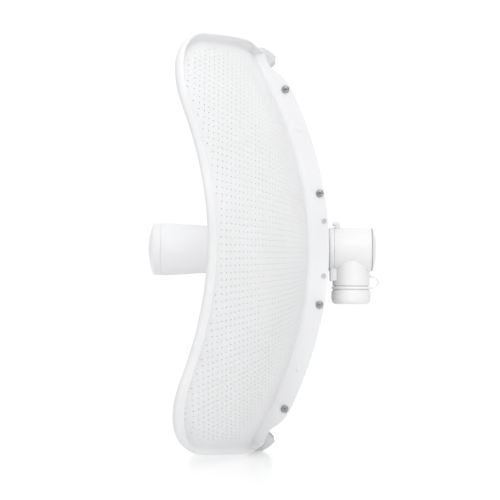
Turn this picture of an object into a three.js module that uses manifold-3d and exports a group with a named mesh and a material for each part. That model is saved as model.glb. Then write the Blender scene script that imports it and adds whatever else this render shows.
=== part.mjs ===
// Outdoor wireless bridge: a two-wing dish reflector on a centre channel, with a radio and feed tube.
// Millimetres, +Z up, the beam leaves along -Y, and the origin is the dish's vertex on the feed axis.
import * as THREE from "three";
import { mergeVertices } from "three/addons/utils/BufferGeometryUtils.js";
import Module from "manifold-3d";

const wasm = await Module();
wasm.setup();

// Reflector
const FOCAL = 165;
const HALF_WIDTH = 252;
const HALF_HEIGHT = 196;
const TOP_BULGE = 4.5;
const CORNER_R = 74;
const LIP_DEPTH = 8.5;
const SKIN = 1.6;
const WING_INNER = 27;
const DISH_SEGMENTS = 48;
const DISH_STEPS = 9;

// Flange rear edge: height from the axis, and depth behind the reflecting face
const FLANGE_EDGE = [
  [0, 21.8], [60, 21.8], [120, 22], [158, 22.2], [166, 21.5], [171, 19.8], [174.5, 17],
  [177, 14.2], [180, 12.6], [184, 12.4], [190, 13.6], [196, 15.2], [199.6, 15.8],
];
const FASTENER_SPOTS = [[-22.9, 158], [11.3, 55], [11.3, -55], [-22.9, -158]];
const DIMPLE_SPOTS = [[-8.9, 118.6], [-8.9, -118.6]];
const PIN_SPOTS = { upper: [15.6, 27.7], lower: [15.6, -26.5] };
const SCREW_R = 1.9;
const SCREW_HEAD_R = 3.8;
const SCREW_HOLE_R = 2.3;
const PIN_R = 2.5;

// Centre channel
const SPINE_HALF = 26.7;
const SPINE_TOP = 200.2;
const SPINE_EDGE = [
  [0, 20.5], [60, 20.5], [120, 20.7], [158, 20.9], [166, 20.2], [171, 18.6], [174.5, 15.8],
  [177, 13], [180, 11.6], [182.5, 12.4], [184.5, 16.5], [187.5, 21.5], [190, 23.8],
  [192, 23.8], [196.5, 20.6], [199.2, 17.2], [200.2, 16],
];

// Feed and radio, along Y
const TUBE_BORE_R = 22.9;
const TUBE_REAR_Y = 21;
const HOUSING_R = 21.85;
const HOUSING_WALL = 2.25;
const HOUSING_FRONT_Y = 26.5;
const HOUSING_REAR_Y = 63.6;
const NECK_R = 20.2;
const NECK_FRONT_Y = 6;

// Cable port, along Z
const PORT_Y = 43.6;
const PORT_R = 18.5;
const PORT_END_Z = -36.2;
const SLEEVE_R = 17;
const SLEEVE_END_Z = -50;
const PORT_BORE_R = 14.8;
const CAP_R = 19.5;
const GAP = 0.3;

const AXES = {
  x: new THREE.Matrix4().makeBasis(
    new THREE.Vector3(0, 1, 0), new THREE.Vector3(1, 0, 0), new THREE.Vector3(0, 0, -1)),
  y: new THREE.Matrix4(),
  z: new THREE.Matrix4().makeBasis(
    new THREE.Vector3(1, 0, 0), new THREE.Vector3(0, 0, 1), new THREE.Vector3(0, -1, 0)),
};
const PLANES = {
  x: new THREE.Matrix4().makeBasis(
    new THREE.Vector3(0, 1, 0), new THREE.Vector3(0, 0, 1), new THREE.Vector3(1, 0, 0)),
  y: new THREE.Matrix4().makeBasis(
    new THREE.Vector3(1, 0, 0), new THREE.Vector3(0, 0, 1), new THREE.Vector3(0, -1, 0)),
  z: new THREE.Matrix4(),
};

function dishY(x, z) {
  return -(x * x + z * z) / (4 * FOCAL);
}

// A closed three.js geometry as a solid, with its faces turned outwards.
function solid(geometry) {
  const bare = geometry.clone();
  bare.deleteAttribute("normal");
  bare.deleteAttribute("uv");
  const welded = mergeVertices(bare, 1e-4);
  const points = new Float32Array(welded.attributes.position.array);
  const corners = [];
  const index = welded.index.array;
  let volume = 0;
  for (let i = 0; i < index.length; i += 3) {
    const [a, b, c] = [index[i], index[i + 1], index[i + 2]];
    if (a === b || b === c || c === a) continue;
    corners.push(a, b, c);
    const p = new THREE.Vector3().fromArray(points, 3 * a);
    const q = new THREE.Vector3().fromArray(points, 3 * b);
    const r = new THREE.Vector3().fromArray(points, 3 * c);
    volume += p.dot(q.cross(r));
  }
  if (volume < 0) {
    for (let i = 0; i < corners.length; i += 3) {
      [corners[i + 1], corners[i + 2]] = [corners[i + 2], corners[i + 1]];
    }
  }
  return new wasm.Manifold(new wasm.Mesh({
    numProp: 3,
    vertProperties: points,
    triVerts: new Uint32Array(corners),
  }));
}

// Points given across the axis, pushed out between two positions along it.
function prism(axis, points, from, to, holes = []) {
  const shape = new THREE.Shape(points.map(([a, b]) => new THREE.Vector2(a, b)));
  for (const hole of holes) {
    shape.holes.push(new THREE.Path(hole.map(([a, b]) => new THREE.Vector2(a, b))));
  }
  const geometry = new THREE.ExtrudeGeometry(shape, {
    depth: to - from, bevelEnabled: false, steps: 1,
  });
  geometry.applyMatrix4(PLANES[axis]);
  const start = { x: [from, 0, 0], y: [0, to, 0], z: [0, 0, from] }[axis];
  geometry.translate(...start);
  return solid(geometry);
}

// A closed profile of [radius, position along the axis] turned about that axis.
function turned(axis, profile, segments, centre = [0, 0, 0]) {
  const points = profile.map(([r, h]) => new THREE.Vector2(r, h));
  if (profile[0][0] > 0 || profile[profile.length - 1][0] > 0) {
    points.push(points[0].clone());
  }
  const geometry = new THREE.LatheGeometry(points, segments);
  geometry.applyMatrix4(AXES[axis]);
  geometry.translate(...centre);
  return solid(geometry);
}

function rod(axis, radius, from, to, segments, centre = [0, 0, 0]) {
  return turned(axis, [[0, from], [radius, from], [radius, to], [0, to]], segments, centre);
}

function ring(axis, inner, outer, from, to, segments, centre = [0, 0, 0]) {
  const profile = [[inner, from], [outer, from], [outer, to], [inner, to]];
  return turned(axis, profile, segments, centre);
}

function block(low, high) {
  const size = high.map((h, i) => h - low[i]);
  const geometry = new THREE.BoxGeometry(...size);
  geometry.translate(...high.map((h, i) => (h + low[i]) / 2));
  return solid(geometry);
}

function regular(count, radius, centre = [0, 0]) {
  const points = [];
  for (let i = 0; i < count; i += 1) {
    const angle = (2 * Math.PI * (i + 0.5)) / count;
    points.push([centre[0] + radius * Math.cos(angle), centre[1] + radius * Math.sin(angle)]);
  }
  return points;
}

function colour(hex, roughness, metalness) {
  return new THREE.MeshStandardMaterial({ color: hex, roughness, metalness });
}

const object = new THREE.Group();

function place(name, body, material, mirrored = false) {
  const mesh = body.getMesh();
  const geometry = new THREE.BufferGeometry();
  const points = new Float32Array(mesh.vertProperties);
  const index = new Uint32Array(mesh.triVerts);
  if (mirrored) {
    for (let i = 0; i < points.length; i += 3) points[i] = -points[i];
    for (let i = 0; i < index.length; i += 3) {
      [index[i + 1], index[i + 2]] = [index[i + 2], index[i + 1]];
    }
  }
  geometry.setAttribute("position", new THREE.BufferAttribute(points, 3));
  geometry.setIndex(new THREE.BufferAttribute(index, 1));
  const flat = geometry.toNonIndexed();
  flat.computeVertexNormals();
  const shown = new THREE.Mesh(flat, material);
  shown.name = name;
  object.add(shown);
}

const reflectorWhite = colour(0xf2f4f6, 0.5, 0.1);
const channelGrey = colour(0xc9ccce, 0.5, 0.2);
const zinc = colour(0xa9adb0, 0.35, 0.9);
const shellWhite = colour(0xf4f4f4, 0.45, 0);
const capWhite = colour(0xf0f0f0, 0.5, 0);
const sealGrey = colour(0x9a9c9e, 0.8, 0);
const boardGreen = colour(0x1f6b45, 0.6, 0);
const copper = colour(0xb87333, 0.35, 0.9);
const blackPlastic = colour(0x1b1c1e, 0.6, 0);
const tetherWhite = colour(0xe6e7e8, 0.6, 0);

// The dish as a layer between two distances behind its reflecting face.
function dishLayer(front, back) {
  const face = [];
  const rear = [];
  for (let i = 0; i <= DISH_STEPS; i += 1) {
    const r = 20 + (290 - 20) * (i / DISH_STEPS);
    face.push([r, dishY(r, 0) + front]);
    rear.push([r, dishY(r, 0) + back]);
  }
  return turned("y", [...face, ...rear.reverse()], DISH_SEGMENTS);
}

// One wing's outline across Y: a half rectangle with rounded outer corners and bowed ends.
function wingOutline(inset, inner) {
  const right = HALF_WIDTH - inset;
  const top = HALF_HEIGHT - inset;
  const radius = CORNER_R - inset;
  const run = HALF_WIDTH - CORNER_R - WING_INNER;
  const upper = [];
  for (let i = 0; i < 6; i += 1) {
    const x = inner + (right - radius - inner) * (i / 6);
    const share = Math.max(0, (x - WING_INNER) / run);
    upper.push([x, top + TOP_BULGE * (1 - share * share)]);
  }
  for (let i = 0; i <= 10; i += 1) {
    const angle = (Math.PI / 2) * (1 - i / 10);
    upper.push([
      right - radius + radius * Math.cos(angle),
      top - radius + radius * Math.sin(angle),
    ]);
  }
  const lower = upper.map(([x, z]) => [x, -z]).reverse();
  return [...upper, ...lower].reverse();
}

// A wall's side view: its front edge inside the dish's skin, its rear edge from a table.
function wallOutline(edge, x) {
  const front = [];
  const top = edge[edge.length - 1][0];
  for (let i = 0; i <= 24; i += 1) {
    const z = -top + (2 * top * i) / 24;
    front.push([dishY(x, z) + 0.6, z]);
  }
  const upper = edge.map(([z, depth]) => [dishY(x, z) + depth, z]);
  const lower = edge.slice(1).map(([z, depth]) => [dishY(x, z) + depth, -z]);
  return [...front, ...upper.reverse(), ...lower];
}

function makeWing() {
  const outline = prism("y", wingOutline(0, WING_INNER), -150, 40);
  const inside = prism("y", wingOutline(SKIN, WING_INNER - 5), -160, 50);
  let wing = dishLayer(0, SKIN).intersect(outline);
  wing = wing.add(dishLayer(0, LIP_DEPTH).intersect(outline.subtract(inside)));
  const flange = wallOutline(FLANGE_EDGE, WING_INNER);
  wing = wing.add(prism("x", flange, WING_INNER, WING_INNER + SKIN));
  for (const [y, z] of DIMPLE_SPOTS) {
    const bump = [[0, 0], [3, 0], [2.6, 0.5], [1.4, 0.9], [0, 1]];
    wing = wing.add(turned("x", bump, 12, [WING_INNER + SKIN - 0.1, y, z]));
  }
  for (const [y, z] of [...FASTENER_SPOTS, ...Object.values(PIN_SPOTS)]) {
    wing = wing.subtract(rod("x", SCREW_HOLE_R, 20, 34, 12, [0, y, z]));
  }
  return wing;
}

function makeSpine() {
  const skin = [];
  const back = [];
  for (let i = 0; i <= 24; i += 1) {
    const z = -SPINE_TOP + (2 * SPINE_TOP * i) / 24;
    skin.push([dishY(WING_INNER, z), z]);
    back.push([dishY(WING_INNER, z) + SKIN, z]);
  }
  let spine = prism("x", [...skin, ...back.reverse()], -SPINE_HALF, SPINE_HALF);
  const wall = wallOutline(SPINE_EDGE, WING_INNER);
  spine = spine.add(prism("x", wall, SPINE_HALF - SKIN, SPINE_HALF));
  spine = spine.add(prism("x", wall, -SPINE_HALF, SKIN - SPINE_HALF));
  const endY = dishY(WING_INNER, SPINE_TOP);
  for (const side of [-1, 1]) {
    const z = [side * SPINE_TOP, side * (SPINE_TOP - SKIN)].sort((a, b) => a - b);
    const low = [-SPINE_HALF, endY + 0.6, z[0]];
    spine = spine.add(block(low, [SPINE_HALF, endY + 16, z[1]]));
  }
  spine = spine.subtract(rod("y", TUBE_BORE_R, -20, 10, 40));
  for (const [y, z] of [...FASTENER_SPOTS, ...Object.values(PIN_SPOTS)]) {
    spine = spine.subtract(rod("x", SCREW_HOLE_R, -34, 34, 12, [0, y, z]));
  }
  return spine;
}

function makeScrew([y, z]) {
  const seat = WING_INNER + SKIN + 0.1;
  const profile = [
    [0, 20.4], [SCREW_R, 20.4], [SCREW_R, seat], [SCREW_HEAD_R, seat],
    [SCREW_HEAD_R, seat + 1.5], [SCREW_HEAD_R - 0.9, seat + 2.5], [0, seat + 2.7],
  ];
  const top = seat + 2.7;
  return turned("x", profile, 16, [0, y, z])
    .subtract(block([top - 1.3, y - 2.2, z - 0.5], [top + 1, y + 2.2, z + 0.5]))
    .subtract(block([top - 1.3, y - 0.5, z - 2.2], [top + 1, y + 0.5, z + 2.2]));
}

function makeNut([y, z]) {
  const hole = regular(12, SCREW_HOLE_R, [y, z]);
  return prism("x", regular(6, 4, [y, z]), 21.7, SPINE_HALF - SKIN - 0.1, [hole]);
}

function makePin([y, z]) {
  const seat = WING_INNER + SKIN + 0.1;
  const profile = [
    [0, 24.4], [2, 24.4], [2, seat], [PIN_R, seat], [PIN_R, seat + 0.7], [1.6, seat + 0.7],
    [1.5, seat + 0.3], [0, seat + 0.3],
  ];
  return turned("x", profile, 16, [0, y, z]);
}

const wing = makeWing();
place("reflector_wing_left", wing, reflectorWhite);
place("reflector_wing_right", wing, reflectorWhite, true);
place("spine_channel", makeSpine(), channelGrey);
FASTENER_SPOTS.forEach((spot, i) => {
  const screw = makeScrew(spot);
  const nut = makeNut(spot);
  place(`flange_screw_left_${i + 1}`, screw, zinc);
  place(`flange_screw_right_${i + 1}`, screw, zinc, true);
  place(`flange_nut_left_${i + 1}`, nut, zinc);
  place(`flange_nut_right_${i + 1}`, nut, zinc, true);
});
for (const [level, spot] of Object.entries(PIN_SPOTS)) {
  const pin = makePin(spot);
  place(`locating_pin_left_${level}`, pin, zinc);
  place(`locating_pin_right_${level}`, pin, zinc, true);
}

// Feed
const tubeProfile = [
  [24.05, -146], [26, -146], [26, -142.4], [25.6, -142], [26, -141.6], [26, -136], [23.3, -98],
  [22.6, -70], [22.4, -30], [22.4, TUBE_REAR_Y], [20.6, TUBE_REAR_Y], [20.6, -30], [20.9, -70],
  [21.6, -98], [24.05, -130],
];
place("feed_tube", turned("y", tubeProfile, 40), shellWhite);
const domeProfile = [
  [0, -159], [3.5, -159], [14, -158], [22, -156.2], [25.2, -154.2], [26, -152.4],
  [26, -146.3], [22.8, -146.3], [22.8, -138], [21.2, -138], [21.2, -152], [20, -154],
  [12, -156], [0, -156.8],
];
place("feed_front_cap", turned("y", domeProfile, 40), shellWhite);
place("front_cap_o_ring", ring("y", 23.05, 23.75, -143.6, -142.2, 32), sealGrey);
place("subreflector_disc", rod("y", 19.5, -151.6, -150.4, 32), copper);
const radiatorProfile = [[0, -136], [11, -136], [11, -135], [3.4, -131], [3.4, -129.8], [0, -129.8]];
place("feed_radiator", turned("y", radiatorProfile, 24), copper);
place("antenna_board", block([-14, -129.4, -0.8], [14, -12, 0.8]), boardGreen);
place("tube_clamp_ring", ring("y", 22.7, 24.7, 2.5, 8.5, 36), zinc);

// Radio housing
function makeHousing() {
  const outside = [
    [0, NECK_FRONT_Y], [NECK_R, NECK_FRONT_Y], [NECK_R, HOUSING_FRONT_Y],
    [HOUSING_R, HOUSING_FRONT_Y], [HOUSING_R, HOUSING_REAR_Y], [0, HOUSING_REAR_Y],
  ];
  const bore = HOUSING_R - HOUSING_WALL;
  const inside = [
    [0, 4], [18.4, 4], [18.4, 28.5], [bore, 28.5], [bore, HOUSING_REAR_Y + 2],
    [0, HOUSING_REAR_Y + 2],
  ];
  const centre = [0, PORT_Y, 0];
  let body = turned("y", outside, 40);
  body = body.add(rod("z", PORT_R, PORT_END_Z, -6, 36, centre));
  body = body.add(rod("z", SLEEVE_R, SLEEVE_END_Z, -6, 36, centre));
  body = body.add(block([-2, PORT_Y + PORT_R - 1, -28.2], [2, PORT_Y + PORT_R + 1.2, -25.6]));
  body = body.subtract(turned("y", inside, 40));
  body = body.subtract(rod("z", PORT_BORE_R, SLEEVE_END_Z - 2, -4, 32, centre));
  body = body.subtract(block([-6, 27.1, 12], [6, 32.7, 25]));
  body = body.add(block([-8, 28.8, 9.5], [8, 33.6, 11]));
  body = body.add(block([6.3, 28.8, 9.5], [8, 33.6, 18.6]));
  return body.add(block([-8, 28.8, 9.5], [-6.3, 33.6, 18.6]));
}

place("rear_housing", makeHousing(), shellWhite);
const endProfile = [
  [0, 67.8], [10.8, 67.8], [19.4, 65.6], [21.6, 64.6], [19.2, 64.6], [19.2, 58], [17.6, 58],
  [17.6, 64], [10, 66.2], [0, 66.2],
];
place("rear_end_cap", turned("y", endProfile, 40), shellWhite);
place("end_cap_gasket", ring("y", 19.7, 21.3, 63.8, 64.4, 36), sealGrey);
const collarBand = ring("y", NECK_R + GAP, 22, 22.8, 26.2, 40);
const lug = block([-11.6, 23.6, -29.4], [11.6, 30.8, -14])
  .subtract(rod("y", NECK_R + GAP, 20, 26.2, 40))
  .subtract(rod("y", HOUSING_R + GAP, 26.2, 40, 40));
const portRoom = rod("z", PORT_R + GAP, -60, 0, 36, [0, PORT_Y, 0]);
place("mount_collar", collarBand.add(lug).subtract(portRoom), shellWhite);
place("radio_board", block([-13, 8, -12.2], [13, 57, -10.6]), boardGreen);
place("shield_can", block([-10, 12, -10.3], [10, 54, -5]), zinc);
const jackY = [PORT_Y - 9, PORT_Y + 4.4];
const jack = block([-8, jackY[0], -34.9], [8, jackY[1], -12.5])
  .subtract(block([-6, jackY[0] + 2.4, -36], [6, jackY[1] - 2.6, -19]));
place("ethernet_jack", jack, zinc);
const bezelHole = [
  [-8.3, jackY[0] - GAP], [8.3, jackY[0] - GAP], [8.3, jackY[1] + GAP], [-8.3, jackY[1] + GAP],
];
const resetSpot = [0, PORT_Y + 9.4];
const bezelHoles = [bezelHole.reverse(), regular(12, 2.3, resetSpot).reverse()];
const bezel = prism("z", regular(32, PORT_BORE_R - GAP, [0, PORT_Y]), -34.6, -33, bezelHoles);
place("port_bezel", bezel, blackPlastic);
const reset = [[0, -35.2], [1.7, -35.2], [2, -34.9], [2, -32.6], [2, -28], [0, -28]];
place("reset_button", turned("z", reset, 16, [0, resetSpot[1], 0]), sealGrey);

// Release latch
const button = block([-5.7, 27.4, 16], [5.7, 32.4, 25.4])
  .add(block([-5.7, 25, 24], [5.7, 32.4, 26.6]))
  .add(block([-4.6, 25.8, 26], [4.6, 31.6, 27.8]));
place("latch_button", button, shellWhite);

function makeSpring() {
  const points = [];
  for (let i = 0; i <= 40; i += 1) {
    const angle = (2 * Math.PI * 3.5 * i) / 40;
    points.push(new THREE.Vector3(
      2.4 * Math.cos(angle), 30 + 2.4 * Math.sin(angle), 11.6 + (3.8 * i) / 40));
  }
  const wire = new THREE.Shape(regular(6, 0.3).map(([a, b]) => new THREE.Vector2(a, b)));
  const path = new THREE.CatmullRomCurve3(points);
  return solid(new THREE.ExtrudeGeometry(wire, { steps: 56, extrudePath: path }));
}

place("latch_spring", makeSpring(), zinc);

// Port cap and its tether
const capCentre = [0, PORT_Y, 0];
place("tether_ring", ring("z", SLEEVE_R + GAP, 19.3, -39.4, -36.8, 40, capCentre), tetherWhite);
const capProfile = [
  [0, -51.4], [17.3, -51.4], [17.3, -39.7], [18.3, -39.7], [18.3, -41.2], [CAP_R, -41.5],
  [CAP_R, -50.2], [18.7, -52.4], [16.2, -53.6], [0, -53.6],
];
place("port_cap", turned("z", capProfile, 40, capCentre), capWhite);
place("port_seal", ring("z", 14.9, 17, -51.1, SLEEVE_END_Z - GAP, 36, capCentre), sealGrey);

function makeTether() {
  const path = new THREE.CatmullRomCurve3([
    new THREE.Vector3(0, 63.6, -26.9),
    new THREE.Vector3(0, 67.6, -27.8),
    new THREE.Vector3(0, 70.6, -32.6),
    new THREE.Vector3(0, 67.4, -37.4),
    new THREE.Vector3(0, 63.3, -38.2),
  ]);
  const strap = new THREE.Shape(regular(8, 0.75).map(([a, b]) => new THREE.Vector2(a, b)));
  return solid(new THREE.ExtrudeGeometry(strap, { steps: 20, extrudePath: path }));
}

place("cap_tether", makeTether(), tetherWhite);

export default object;
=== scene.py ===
"""Outdoor wireless bridge: perforated dish wings on a centre channel, a feed tube and a tubular radio."""

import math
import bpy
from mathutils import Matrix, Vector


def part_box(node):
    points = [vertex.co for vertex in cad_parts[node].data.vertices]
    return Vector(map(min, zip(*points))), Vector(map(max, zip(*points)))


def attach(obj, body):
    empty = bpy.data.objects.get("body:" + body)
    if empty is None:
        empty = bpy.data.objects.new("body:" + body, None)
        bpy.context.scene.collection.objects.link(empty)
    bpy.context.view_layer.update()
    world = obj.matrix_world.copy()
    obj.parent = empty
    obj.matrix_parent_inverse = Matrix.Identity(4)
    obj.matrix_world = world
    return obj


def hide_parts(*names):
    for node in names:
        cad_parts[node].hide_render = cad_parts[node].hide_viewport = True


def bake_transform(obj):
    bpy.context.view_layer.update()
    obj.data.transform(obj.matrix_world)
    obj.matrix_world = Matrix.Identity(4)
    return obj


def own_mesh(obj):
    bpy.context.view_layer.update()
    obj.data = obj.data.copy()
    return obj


bl_info = {
    "name": "Outdoor Wireless Bridge",
    "version": (1, 0, 0),
    "blender": (4, 5, 0),
    "location": "View3D > Sidebar > Bridge",
    "description": "Builds a dish antenna with perforated wings, a feed tube and a radio with a capped port",
    "category": "Add Mesh",
}

import bmesh
import bpy
from bpy.props import FloatProperty, FloatVectorProperty, PointerProperty
from mathutils import Matrix, Vector

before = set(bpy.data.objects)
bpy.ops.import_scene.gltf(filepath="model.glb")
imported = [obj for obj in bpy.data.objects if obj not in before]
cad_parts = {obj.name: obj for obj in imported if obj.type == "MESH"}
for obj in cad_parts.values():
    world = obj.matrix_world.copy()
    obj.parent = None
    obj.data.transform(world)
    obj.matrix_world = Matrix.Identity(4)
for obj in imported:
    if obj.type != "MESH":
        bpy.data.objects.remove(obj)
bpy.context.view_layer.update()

MM = 0.001
SIDES = (("left", 1), ("right", -1))
ALONG = {"x": Vector((1, 0, 0)), "y": Vector((0, 1, 0)), "z": Vector((0, 0, 1))}
WING_LOW, WING_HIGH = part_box("reflector_wing_left")
TUBE_LOW, TUBE_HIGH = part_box("feed_tube")
HOUSING_LOW, HOUSING_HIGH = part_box("rear_housing")
CAP_LOW, CAP_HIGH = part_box("port_cap")
PORT_Y = (CAP_LOW.y + CAP_HIGH.y) / 2
CAP_RADIUS = (CAP_HIGH.y - CAP_LOW.y) / 2

# The wings: nearest hole to the beam, the smallest cell that takes one, and the rim's lean.
FIRST_HOLE = 41 * MM
SHORTEST_CELL = 3.7 * MM
LEAN_START = 20 * MM
LEAN_RUN = 13 * MM

# Heights of the extra rows beside the flange's notches, in millimetres, and how far they reach.
NOTCH_ROWS = (164, 167, 169.5, 172, 174, 176, 178, 180, 182, 185, 188, 192, 196)
NOTCH_REACH = 46 * MM
DIMPLE_HEIGHT = 118.6 * MM

# How far a finish drifts in tone and in roughness over a piece.
TONE_DRIFT = 0.03
GLOSS_DRIFT = 0.05

# Rear edge of the flange: height from the axis and depth behind the reflecting face, in millimetres.
FLANGE_EDGE = (
    (0, 21.8), (60, 21.8), (120, 22), (158, 22.2), (166, 21.5), (171, 19.8), (174.5, 17),
    (177, 14.2), (180, 12.6), (184, 12.4), (190, 13.6), (196, 15.2), (200, 15.8),
)
CHANNEL_EDGE = (
    (0, 20.5), (60, 20.5), (120, 20.7), (158, 20.9), (166, 20.2), (171, 18.6), (174.5, 15.8),
    (177, 13), (180, 11.6), (182.5, 12.4), (184.5, 16.5), (187.5, 21.5), (190, 23.8),
    (192, 23.8), (196.5, 20.6), (199.2, 17.2), (200.2, 16),
)


# ---------------------------------------------------------------- sizes and colours


class DishSizes(bpy.types.PropertyGroup):
    focal: FloatProperty(
        name="Focal length", description="Focal length of the dish", default=165 * MM, unit="LENGTH")
    half_width: FloatProperty(
        name="Half width", description="Axis to the outer rim", default=WING_HIGH.x, unit="LENGTH")
    half_height: FloatProperty(
        name="Half height", description="Axis to the top rim at the outer corner",
        default=WING_HIGH.z - 3.9 * MM, unit="LENGTH")
    lift: FloatProperty(
        name="Lift", description="Feed axis up to the middle of the wings' outline",
        default=1.6 * MM, unit="LENGTH")
    bow: FloatProperty(
        name="Bow", description="Rise of the top rim towards the middle", default=4.5 * MM, unit="LENGTH")
    corner: FloatProperty(
        name="Corner radius", description="Radius of the outer corners", default=74 * MM, unit="LENGTH")
    inner: FloatProperty(
        name="Flange offset", description="Axis to the wing's flange", default=WING_LOW.x, unit="LENGTH")
    lip: FloatProperty(
        name="Lip depth", description="Depth of the turned-back lip", default=8.5 * MM, unit="LENGTH")
    bend: FloatProperty(
        name="Top bend", description="Outer radius of the bend along the top and bottom rims",
        default=6.2 * MM, unit="LENGTH")
    rim_bend: FloatProperty(
        name="Rim bend", description="Outer radius of the bend along the outer rim",
        default=4 * MM, unit="LENGTH")
    droop: FloatProperty(
        name="Lower flare", description="Extra lean of the outer rim towards its lower corner",
        default=0.8, min=0, max=2)
    seam_bend: FloatProperty(
        name="Seam bend", description="Outer radius of the bend to the flange", default=7 * MM,
        unit="LENGTH")
    flare: FloatProperty(
        name="Rim flare", description="Lean of the outer rim forward of the dish, in bend radii",
        default=0.9, min=0, max=2)
    sheet: FloatProperty(
        name="Sheet", description="Thickness of the pressed sheet", default=1.4 * MM, unit="LENGTH")
    pitch: FloatProperty(
        name="Hole pitch", description="Spacing of the perforations along the dish's slope",
        default=7.0 * MM, unit="LENGTH")
    widest: FloatProperty(
        name="Widest step", description="Widest step between perforations near the seam",
        default=8.0 * MM, unit="LENGTH")
    row: FloatProperty(
        name="Row pitch", description="Spacing of the perforation rows near the rim",
        default=6.45 * MM, unit="LENGTH")
    hole: FloatProperty(
        name="Hole diameter", description="Diameter of one perforation", default=2.1 * MM, unit="LENGTH")
    margin: FloatProperty(
        name="Blank margin", description="Rim to the nearest perforation", default=14.5 * MM,
        unit="LENGTH")


class Finishes(bpy.types.PropertyGroup):
    powder: FloatVectorProperty(
        name="Powder coat", description="Colour of the wings", subtype="COLOR", size=3,
        default=(0.865, 0.867, 0.876), min=0, max=1)
    channel: FloatVectorProperty(
        name="Channel", description="Colour of the centre channel", subtype="COLOR", size=3,
        default=(0.70, 0.705, 0.715), min=0, max=1)
    shell: FloatVectorProperty(
        name="Shell", description="Colour of the plastic shells", subtype="COLOR", size=3,
        default=(0.87, 0.87, 0.87), min=0, max=1)
    zinc: FloatVectorProperty(
        name="Zinc", description="Colour of the plated fasteners", subtype="COLOR", size=3,
        default=(0.45, 0.46, 0.47), min=0, max=1)


class StageSizes(bpy.types.PropertyGroup):
    camera_distance: FloatProperty(
        name="Camera distance", description="Camera to the feed axis", default=2.6, unit="LENGTH")
    camera_height: FloatProperty(
        name="Camera height", description="Camera height from the feed axis", default=-0.050,
        unit="LENGTH")
    camera_along: FloatProperty(
        name="Camera offset", description="Camera place along the feed axis", default=-0.0575,
        unit="LENGTH")
    tilt: FloatProperty(
        name="Tilt", description="Upward tilt of the camera", default=0.019, subtype="ANGLE")
    roll: FloatProperty(
        name="Roll", description="Roll of the camera", default=0.003, subtype="ANGLE")
    floor_drop: FloatProperty(
        name="Floor", description="Feed axis down to the floor", default=-WING_LOW.z + 0.001,
        unit="LENGTH")


# ---------------------------------------------------------------- mesh helpers


def wire_profile(points, axis, centre):
    """A closed profile of (radius, place along the axis, corner radius), in millimetres, as a wire."""
    bm = bmesh.new()
    across = ALONG["z"] if axis != "z" else ALONG["y"]
    verts = []
    for radius, along, _ in points:
        verts.append(bm.verts.new(centre + across * radius * MM + ALONG[axis] * along * MM))
    closed = list(zip(verts, verts[1:] + verts[:1]))
    if points[0][0] == 0 and points[-1][0] == 0:
        closed = closed[:-1]
    for a, b in closed:
        bm.edges.new((a, b))
    rounds = {}
    for vert, (_, _, corner) in zip(verts, points):
        rounds.setdefault(corner, []).append(vert)
    for corner, group in rounds.items():
        if corner > 0:
            bmesh.ops.bevel(
                bm, geom=group, offset=corner * MM, offset_type="OFFSET", segments=4,
                profile=0.5, affect="VERTICES", material=-1, clamp_overlap=True)
    return bm


def turned(points, axis, centre=(0, 0, 0), steps=96):
    """A solid turned about an axis from a closed profile."""
    centre = Vector(centre)
    bm = wire_profile(points, axis, centre)
    bmesh.ops.spin(
        bm, geom=bm.verts[:] + bm.edges[:], cent=centre, axis=ALONG[axis], angle=2 * math.pi,
        steps=steps, use_merge=True)
    bmesh.ops.remove_doubles(bm, verts=bm.verts, dist=0.002 * MM)
    bmesh.ops.recalc_face_normals(bm, faces=bm.faces)
    return bm


def block(low, high, corner=0.0, segments=3):
    """A box between two corners in millimetres, with rounded edges."""
    bm = bmesh.new()
    bmesh.ops.create_cube(bm, size=1.0)
    size = [(end - start) * MM for start, end in zip(low, high)]
    middle = [(end + start) / 2 * MM for start, end in zip(low, high)]
    bmesh.ops.scale(bm, vec=size, verts=bm.verts)
    bmesh.ops.translate(bm, vec=middle, verts=bm.verts)
    if corner > 0:
        bmesh.ops.bevel(
            bm, geom=bm.edges[:], offset=corner * MM, offset_type="OFFSET", segments=segments,
            profile=0.5, affect="EDGES", material=-1, clamp_overlap=True)
    return bm


def cord_end(radius, segments, place):
    """A round wire's outline, across the beam, ready to be spun along its path."""
    bm = bmesh.new()
    bmesh.ops.create_circle(bm, segments=segments, radius=radius)
    bmesh.ops.rotate(
        bm, cent=(0, 0, 0), matrix=Matrix.Rotation(math.pi / 2, 3, "X"), verts=bm.verts)
    bmesh.ops.translate(bm, vec=place, verts=bm.verts)
    return bm


def as_mesh(bm, name):
    """The bmesh as a mesh; the bmesh goes."""
    mesh = bpy.data.meshes.new(name)
    bm.to_mesh(mesh)
    bm.free()
    return mesh


def joined(*parts):
    """Several bmeshes as one."""
    whole = bmesh.new()
    for bm in parts:
        mesh = as_mesh(bm, "part")
        whole.from_mesh(mesh)
        bpy.data.meshes.remove(mesh)
    return whole


def scratch(bm, name="scratch"):
    """The bmesh as an object in the scene."""
    obj = bpy.data.objects.new(name, as_mesh(bm, name))
    bpy.context.scene.collection.objects.link(obj)
    return obj


def evaluated(obj, *tools):
    """The object's shape with its modifiers done, as a bmesh; the object and its tools go."""
    graph = bpy.context.evaluated_depsgraph_get()
    graph.update()
    mesh = bpy.data.meshes.new_from_object(obj.evaluated_get(graph))
    bm = bmesh.new()
    bm.from_mesh(mesh)
    bpy.data.meshes.remove(mesh)
    for extra in (obj, *tools):
        data = extra.data
        bpy.data.objects.remove(extra)
        bpy.data.meshes.remove(data)
    return bm


def carved(base, *cuts):
    """base joined with or cut by each (operation, bmesh) in turn, as a bmesh."""
    obj = scratch(base)
    tools = []
    for operation, bm in cuts:
        tool = scratch(bm)
        tools.append(tool)
        modifier = obj.modifiers.new(operation.title(), "BOOLEAN")
        modifier.operation = operation
        modifier.solver = "EXACT"
        modifier.object = tool
    return evaluated(obj, *tools)


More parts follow.
